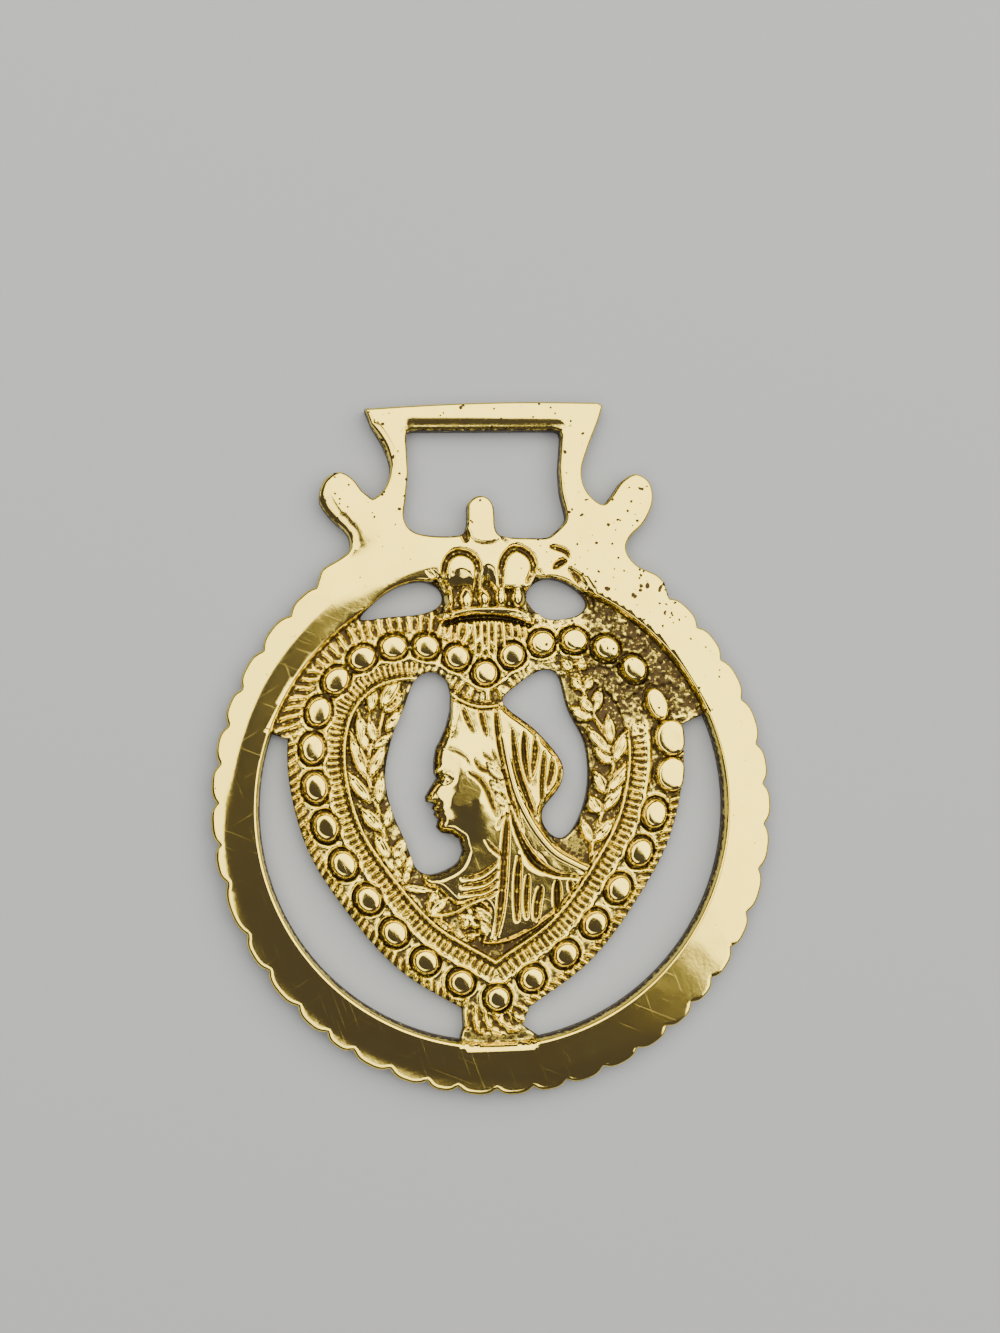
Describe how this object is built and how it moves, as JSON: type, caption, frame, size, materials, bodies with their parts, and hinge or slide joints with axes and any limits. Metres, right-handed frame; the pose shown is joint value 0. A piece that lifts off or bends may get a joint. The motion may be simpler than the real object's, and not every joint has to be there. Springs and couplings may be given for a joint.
{
  "type": "horse brass",
  "caption": "Flat cast harness ornament: a scalloped ring round a pierced, beaded heart with a veiled head between laurels, under a crown and a strap loop.",
  "frame": {"origin": "centre of the bounding box on the flat back face, where the casting lies on a surface", "axes": "+X to the right seen from the front, +Y from the ring to the strap loop, +Z out of the front, away from the back face"},
  "size_m": [0.0756, 0.0933, 0.0036],
  "materials": {
    "cast_brass": "cast and hand-filed brass, polished on the ring, loop and crests of the carving, with fine scratches, casting pits and brown tarnish in the recesses"
  },
  "bodies": {
    "root": {"horse_brass": "cast_brass"}
  },
  "joints": []
}
